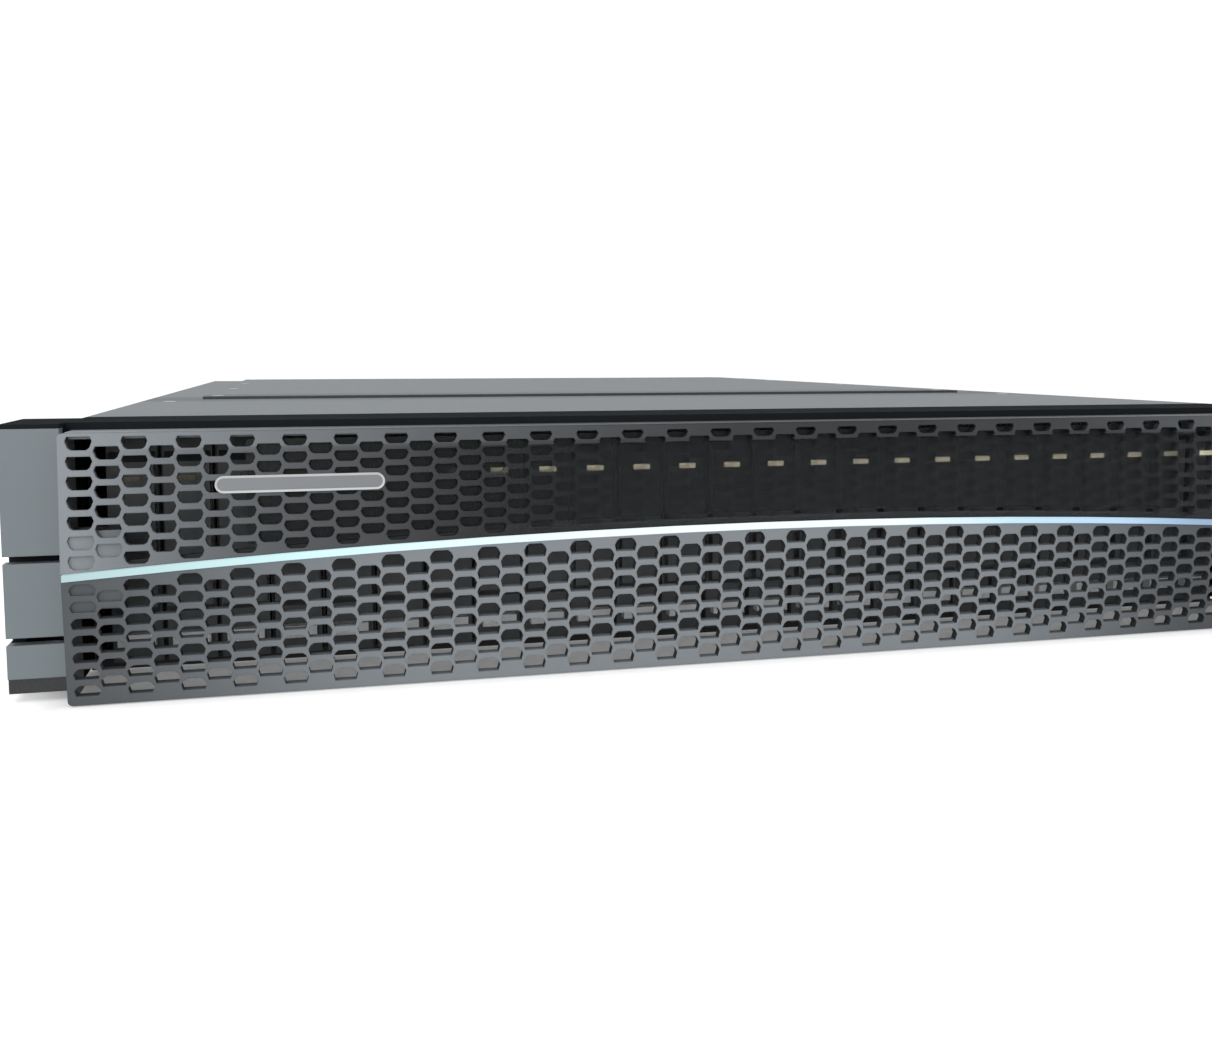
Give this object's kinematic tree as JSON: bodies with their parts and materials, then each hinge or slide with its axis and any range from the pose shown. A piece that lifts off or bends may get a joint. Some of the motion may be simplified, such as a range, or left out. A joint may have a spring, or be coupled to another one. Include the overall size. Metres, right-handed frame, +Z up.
{
  "type": "rack storage array",
  "caption": "Low rack-mount flash storage array with a hex-grille bezel crossed by a curved light bar, plug-in drives, sliding controllers and power units.",
  "frame": {"origin": "on the underside, midway across, in the plane where the ears meet the rack posts", "axes": "+X to the right seen from the front, +Y to the rear, +Z up"},
  "size_m": [0.4826, 0.617, 0.0861],
  "materials": {
    "cover_grey": "fine satin paint",
    "tray_steel": "galvanised sheet",
    "screw_steel": "polished",
    "frame_black": "fine grain",
    "ear_grey": "satin paint",
    "button_dark": "smooth",
    "cage_steel": "plain sheet",
    "circuit_green": "solder mask",
    "battery_black": "fine grain",
    "bezel_grey": "satin paint",
    "bezel_fade": "satin paint that fades to smoked in the middle",
    "smoked_sheet": "smoked, smooth",
    "light_guide": "frosted, lit from inside",
    "carrier_dark": "fine grain",
    "canister_steel": "galvanised sheet",
    "lever_teal": "fine grain",
    "module_steel": "nickel plated",
    "power_steel": "galvanised sheet",
    "fan_black": "smooth"
  },
  "bodies": {
    "chassis": {"chassis_tray": "tray_steel", "top_cover": "cover_grey", "rear_lid": "cover_grey", "cover_screws": "screw_steel", "front_frame": "frame_black", "ear_covers": "ear_grey", "drive_cage": "cage_steel", "midplane": "circuit_green", "backup_batteries": "battery_black"},
    "bezel": {"bezel_frame": "bezel_grey", "upper_grille": "bezel_fade", "lower_grille": "bezel_grey", "light_bar": "light_guide", "smoked_window": "smoked_sheet"},
    "left_release": {"left_release_button": "ear_grey"},
    "right_release": {"right_release_button": "ear_grey"},
    "power_key": {"power_button": "button_dark"},
    "drive_01": {"drive_01": "carrier_dark"},
    "drive_02": {"drive_02": "carrier_dark"},
    "drive_03": {"drive_03": "carrier_dark"},
    "drive_04": {"drive_04": "carrier_dark"},
    "drive_05": {"drive_05": "carrier_dark"},
    "drive_06": {"drive_06": "carrier_dark"},
    "drive_07": {"drive_07": "carrier_dark"},
    "drive_08": {"drive_08": "carrier_dark"},
    "drive_09": {"drive_09": "carrier_dark"},
    "drive_10": {"drive_10": "carrier_dark"},
    "drive_11": {"drive_11": "carrier_dark"},
    "drive_12": {"drive_12": "carrier_dark"},
    "drive_13": {"drive_13": "carrier_dark"},
    "drive_14": {"drive_14": "carrier_dark"},
    "drive_15": {"drive_15": "carrier_dark"},
    "drive_16": {"drive_16": "carrier_dark"},
    "drive_17": {"drive_17": "carrier_dark"},
    "drive_18": {"drive_18": "carrier_dark"},
    "drive_19": {"drive_19": "carrier_dark"},
    "drive_20": {"drive_20": "carrier_dark"},
    "drive_21": {"drive_21": "carrier_dark"},
    "drive_22": {"drive_22": "carrier_dark"},
    "drive_23": {"drive_23": "carrier_dark"},
    "drive_24": {"drive_24": "carrier_dark"},
    "drive_25": {"drive_25": "carrier_dark"},
    "controller_a": {"controller_a": "canister_steel", "controller_board_a": "circuit_green"},
    "controller_lever_a_left": {"controller_lever_a_left": "lever_teal"},
    "controller_lever_a_right": {"controller_lever_a_right": "lever_teal"},
    "interface_module_a1": {"interface_module_a1": "module_steel"},
    "interface_module_a2": {"interface_module_a2": "module_steel"},
    "controller_b": {"controller_b": "canister_steel", "controller_board_b": "circuit_green"},
    "controller_lever_b_left": {"controller_lever_b_left": "lever_teal"},
    "controller_lever_b_right": {"controller_lever_b_right": "lever_teal"},
    "interface_module_b1": {"interface_module_b1": "module_steel"},
    "interface_module_b2": {"interface_module_b2": "module_steel"},
    "power_unit_left": {"power_unit_left": "power_steel"},
    "power_fan_left": {"power_fan_left": "fan_black"},
    "power_lever_left": {"power_lever_left": "lever_teal"},
    "power_unit_right": {"power_unit_right": "power_steel"},
    "power_fan_right": {"power_fan_right": "fan_black"},
    "power_lever_right": {"power_lever_right": "lever_teal"}
  },
  "joints": [
    {"name": "bezel_pull", "type": "slide", "parent": "chassis", "child": "bezel", "axis": [0, -1, 0], "range_m": [0, 0.08]},
    {"name": "left_release_press", "type": "slide", "parent": "chassis", "child": "left_release", "axis": [0, 1, 0], "range_m": [0, 0.003], "stiffness_N_per_m": 500},
    {"name": "right_release_press", "type": "slide", "parent": "chassis", "child": "right_release", "axis": [0, 1, 0], "range_m": [0, 0.003], "stiffness_N_per_m": 500},
    {"name": "power_press", "type": "slide", "parent": "chassis", "child": "power_key", "axis": [0, 1, 0], "range_m": [0, 0.0015], "stiffness_N_per_m": 600},
    {"name": "drive_01_unplug", "type": "slide", "parent": "chassis", "child": "drive_01", "axis": [0, -1, 0], "range_m": [0, 0.018]},
    {"name": "drive_02_unplug", "type": "slide", "parent": "chassis", "child": "drive_02", "axis": [0, -1, 0], "range_m": [0, 0.018]},
    {"name": "drive_03_unplug", "type": "slide", "parent": "chassis", "child": "drive_03", "axis": [0, -1, 0], "range_m": [0, 0.018]},
    {"name": "drive_04_unplug", "type": "slide", "parent": "chassis", "child": "drive_04", "axis": [0, -1, 0], "range_m": [0, 0.018]},
    {"name": "drive_05_unplug", "type": "slide", "parent": "chassis", "child": "drive_05", "axis": [0, -1, 0], "range_m": [0, 0.018]},
    {"name": "drive_06_unplug", "type": "slide", "parent": "chassis", "child": "drive_06", "axis": [0, -1, 0], "range_m": [0, 0.018]},
    {"name": "drive_07_unplug", "type": "slide", "parent": "chassis", "child": "drive_07", "axis": [0, -1, 0], "range_m": [0, 0.018]},
    {"name": "drive_08_unplug", "type": "slide", "parent": "chassis", "child": "drive_08", "axis": [0, -1, 0], "range_m": [0, 0.018]},
    {"name": "drive_09_unplug", "type": "slide", "parent": "chassis", "child": "drive_09", "axis": [0, -1, 0], "range_m": [0, 0.018]},
    {"name": "drive_10_unplug", "type": "slide", "parent": "chassis", "child": "drive_10", "axis": [0, -1, 0], "range_m": [0, 0.018]},
    {"name": "drive_11_unplug", "type": "slide", "parent": "chassis", "child": "drive_11", "axis": [0, -1, 0], "range_m": [0, 0.018]},
    {"name": "drive_12_unplug", "type": "slide", "parent": "chassis", "child": "drive_12", "axis": [0, -1, 0], "range_m": [0, 0.018]},
    {"name": "drive_13_unplug", "type": "slide", "parent": "chassis", "child": "drive_13", "axis": [0, -1, 0], "range_m": [0, 0.018]},
    {"name": "drive_14_unplug", "type": "slide", "parent": "chassis", "child": "drive_14", "axis": [0, -1, 0], "range_m": [0, 0.018]},
    {"name": "drive_15_unplug", "type": "slide", "parent": "chassis", "child": "drive_15", "axis": [0, -1, 0], "range_m": [0, 0.018]},
    {"name": "drive_16_unplug", "type": "slide", "parent": "chassis", "child": "drive_16", "axis": [0, -1, 0], "range_m": [0, 0.018]},
    {"name": "drive_17_unplug", "type": "slide", "parent": "chassis", "child": "drive_17", "axis": [0, -1, 0], "range_m": [0, 0.018]},
    {"name": "drive_18_unplug", "type": "slide", "parent": "chassis", "child": "drive_18", "axis": [0, -1, 0], "range_m": [0, 0.018]},
    {"name": "drive_19_unplug", "type": "slide", "parent": "chassis", "child": "drive_19", "axis": [0, -1, 0], "range_m": [0, 0.018]},
    {"name": "drive_20_unplug", "type": "slide", "parent": "chassis", "child": "drive_20", "axis": [0, -1, 0], "range_m": [0, 0.018]},
    {"name": "drive_21_unplug", "type": "slide", "parent": "chassis", "child": "drive_21", "axis": [0, -1, 0], "range_m": [0, 0.018]},
    {"name": "drive_22_unplug", "type": "slide", "parent": "chassis", "child": "drive_22", "axis": [0, -1, 0], "range_m": [0, 0.018]},
    {"name": "drive_23_unplug", "type": "slide", "parent": "chassis", "child": "drive_23", "axis": [0, -1, 0], "range_m": [0, 0.018]},
    {"name": "drive_24_unplug", "type": "slide", "parent": "chassis", "child": "drive_24", "axis": [0, -1, 0], "range_m": [0, 0.018]},
    {"name": "drive_25_unplug", "type": "slide", "parent": "chassis", "child": "drive_25", "axis": [0, -1, 0], "range_m": [0, 0.018]},
    {"name": "controller_a_slide", "type": "slide", "parent": "chassis", "child": "controller_a", "axis": [0, 1, 0], "range_m": [0, 0.32]},
    {"name": "controller_lever_a_left_swing", "type": "hinge", "parent": "controller_a", "child": "controller_lever_a_left", "pos_m": [-0.1402, 0.564, 0.0778], "axis": [0, 0, 1], "range_deg": [0, 75]},
    {"name": "controller_lever_a_right_swing", "type": "hinge", "parent": "controller_a", "child": "controller_lever_a_right", "pos_m": [0.1402, 0.564, 0.0778], "axis": [0, 0, -1], "range_deg": [0, 75]},
    {"name": "interface_module_a1_slide", "type": "slide", "parent": "controller_a", "child": "interface_module_a1", "axis": [0, 1, 0], "range_m": [0, 0.17]},
    {"name": "interface_module_a2_slide", "type": "slide", "parent": "controller_a", "child": "interface_module_a2", "axis": [0, 1, 0], "range_m": [0, 0.17]},
    {"name": "controller_b_slide", "type": "slide", "parent": "chassis", "child": "controller_b", "axis": [0, 1, 0], "range_m": [0, 0.32]},
    {"name": "controller_lever_b_left_swing", "type": "hinge", "parent": "controller_b", "child": "controller_lever_b_left", "pos_m": [-0.1402, 0.564, 0.03605], "axis": [0, 0, 1], "range_deg": [0, 75]},
    {"name": "controller_lever_b_right_swing", "type": "hinge", "parent": "controller_b", "child": "controller_lever_b_right", "pos_m": [0.1402, 0.564, 0.03605], "axis": [0, 0, -1], "range_deg": [0, 75]},
    {"name": "interface_module_b1_slide", "type": "slide", "parent": "controller_b", "child": "interface_module_b1", "axis": [0, 1, 0], "range_m": [0, 0.17]},
    {"name": "interface_module_b2_slide", "type": "slide", "parent": "controller_b", "child": "interface_module_b2", "axis": [0, 1, 0], "range_m": [0, 0.17]},
    {"name": "power_unit_left_slide", "type": "slide", "parent": "chassis", "child": "power_unit_left", "axis": [0, 1, 0], "range_m": [0, 0.28]},
    {"name": "power_fan_left_spin", "type": "hinge", "parent": "power_unit_left", "child": "power_fan_left", "pos_m": [-0.18725, 0.551, 0.054], "axis": [0, 1, 0], "continuous": true},
    {"name": "power_lever_left_swing", "type": "hinge", "parent": "power_unit_left", "child": "power_lever_left", "pos_m": [-0.216, 0.564, 0.014], "axis": [0, 0, 1], "range_deg": [0, 75]},
    {"name": "power_unit_right_slide", "type": "slide", "parent": "chassis", "child": "power_unit_right", "axis": [0, 1, 0], "range_m": [0, 0.28]},
    {"name": "power_fan_right_spin", "type": "hinge", "parent": "power_unit_right", "child": "power_fan_right", "pos_m": [0.18725, 0.551, 0.054], "axis": [0, 1, 0], "continuous": true},
    {"name": "power_lever_right_swing", "type": "hinge", "parent": "power_unit_right", "child": "power_lever_right", "pos_m": [0.216, 0.564, 0.014], "axis": [0, 0, -1], "range_deg": [0, 75]}
  ]
}
